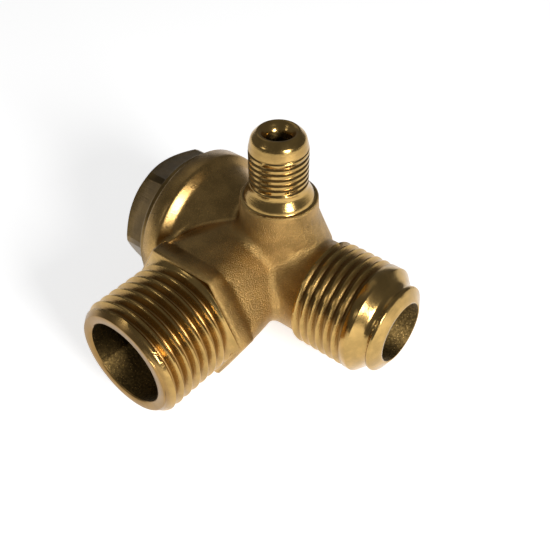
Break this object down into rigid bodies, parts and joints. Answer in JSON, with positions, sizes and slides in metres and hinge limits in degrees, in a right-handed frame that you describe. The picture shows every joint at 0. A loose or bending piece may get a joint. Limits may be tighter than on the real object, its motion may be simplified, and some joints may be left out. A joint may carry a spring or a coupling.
{
  "type": "air compressor non-return valve",
  "caption": "Brass elbow check valve with a flared inlet port, a larger tank port, a small unloader port and a hexagonal cap over a spring-loaded disc.",
  "frame": {"origin": "meeting point of the inlet port's axis and the unloader port's axis", "axes": "+X along the inlet port, away from the cap; -Y along the tank port; +Z along the unloader port"},
  "size_m": [0.054, 0.0483, 0.0433],
  "materials": {
    "body_brass": "forged and shot-blasted, ports machined bright",
    "cap_brass": "machined",
    "seal_rubber": "smooth",
    "spring_steel": "drawn wire",
    "carrier_brass": "turned",
    "disc_rubber": "smooth"
  },
  "bodies": {
    "housing": {"body": "body_brass", "cap": "cap_brass", "cap_seal": "seal_rubber", "spring": "spring_steel"},
    "valve": {"valve_carrier": "carrier_brass", "valve_seal": "disc_rubber"}
  },
  "joints": [
    {"name": "valve_lift", "type": "slide", "parent": "housing", "child": "valve", "axis": [-1, 0, 0], "range_m": [0, 0.003], "stiffness_N_per_m": 250, "springref_m": -0.003, "deforming": ["spring"]}
  ]
}
